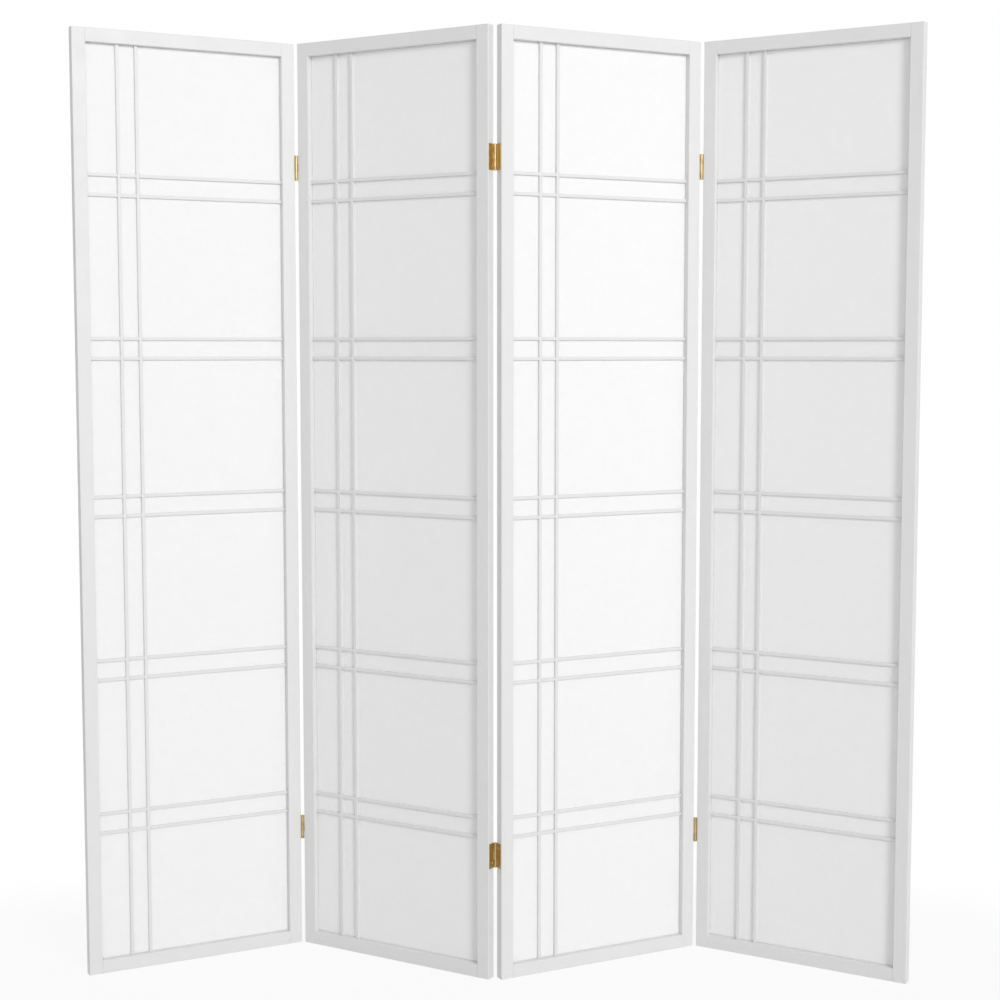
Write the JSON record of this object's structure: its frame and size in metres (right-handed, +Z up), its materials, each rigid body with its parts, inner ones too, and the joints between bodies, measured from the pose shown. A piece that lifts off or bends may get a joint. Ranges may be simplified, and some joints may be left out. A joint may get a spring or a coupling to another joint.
{
  "type": "folding screen",
  "caption": "Zigzag folding room divider: white wooden frames with a narrow lattice over a translucent white sheet, joined by brass butt hinges so the panels open flat or fold into a stack.",
  "frame": {"origin": "on the floor, at the middle of the footprint of the screen as it stands in its zigzag", "axes": "+Z up along the panels' height; +X to the viewer's right along the row of panels; +Y to the back, so the front seen in the picture faces -Y"},
  "size_m": [1.569, 0.2236, 1.7844],
  "materials": {
    "frame_paint": "white satin paint over softwood",
    "lattice_paint": "white satin paint over softwood",
    "sheet": "translucent non-woven fibre sheet",
    "hinge_brass": "bright brass plate",
    "pin_brass": "plain brass"
  },
  "bodies": {
    "panel_1": {"panel_1_left_stile": "frame_paint", "panel_1_right_stile": "frame_paint", "panel_1_top_rail": "frame_paint", "panel_1_bottom_rail": "frame_paint", "panel_1_sheet": "sheet", "panel_1_front_crossbars": "lattice_paint", "panel_1_front_uprights": "lattice_paint", "panel_1_back_crossbars": "lattice_paint", "panel_1_back_uprights": "lattice_paint", "hinge_12_upper_left_leaf": "hinge_brass", "hinge_12_upper_pin": "pin_brass", "hinge_12_lower_left_leaf": "hinge_brass", "hinge_12_lower_pin": "pin_brass"},
    "panel_2": {"panel_2_left_stile": "frame_paint", "panel_2_right_stile": "frame_paint", "panel_2_top_rail": "frame_paint", "panel_2_bottom_rail": "frame_paint", "panel_2_sheet": "sheet", "panel_2_front_crossbars": "lattice_paint", "panel_2_front_uprights": "lattice_paint", "panel_2_back_crossbars": "lattice_paint", "panel_2_back_uprights": "lattice_paint", "hinge_12_upper_right_leaf": "hinge_brass", "hinge_12_lower_right_leaf": "hinge_brass", "hinge_23_upper_left_leaf": "hinge_brass", "hinge_23_upper_pin": "pin_brass", "hinge_23_lower_left_leaf": "hinge_brass", "hinge_23_lower_pin": "pin_brass"},
    "panel_3": {"panel_3_left_stile": "frame_paint", "panel_3_right_stile": "frame_paint", "panel_3_top_rail": "frame_paint", "panel_3_bottom_rail": "frame_paint", "panel_3_sheet": "sheet", "panel_3_front_crossbars": "lattice_paint", "panel_3_front_uprights": "lattice_paint", "panel_3_back_crossbars": "lattice_paint", "panel_3_back_uprights": "lattice_paint", "hinge_23_upper_right_leaf": "hinge_brass", "hinge_23_lower_right_leaf": "hinge_brass", "hinge_34_upper_left_leaf": "hinge_brass", "hinge_34_upper_pin": "pin_brass", "hinge_34_lower_left_leaf": "hinge_brass", "hinge_34_lower_pin": "pin_brass"},
    "panel_4": {"panel_4_left_stile": "frame_paint", "panel_4_right_stile": "frame_paint", "panel_4_top_rail": "frame_paint", "panel_4_bottom_rail": "frame_paint", "panel_4_sheet": "sheet", "panel_4_front_crossbars": "lattice_paint", "panel_4_front_uprights": "lattice_paint", "panel_4_back_crossbars": "lattice_paint", "panel_4_back_uprights": "lattice_paint", "hinge_34_upper_right_leaf": "hinge_brass", "hinge_34_lower_right_leaf": "hinge_brass"}
  },
  "joints": [
    {"name": "fold_1_2", "type": "hinge", "parent": "panel_2", "child": "panel_1", "pos_m": [-0.39397, 0.09552, 0], "axis": [0, 0, 1], "range_deg": [-57.5, 122.5]},
    {"name": "fold_2_3", "type": "hinge", "parent": "panel_2", "child": "panel_3", "pos_m": [0, -0.09552, 0], "axis": [0, 0, 1], "range_deg": [-57.5, 122.5]},
    {"name": "fold_3_4", "type": "hinge", "parent": "panel_3", "child": "panel_4", "pos_m": [0.39397, 0.09552, 0], "axis": [0, 0, -1], "range_deg": [-57.5, 122.5]}
  ]
}
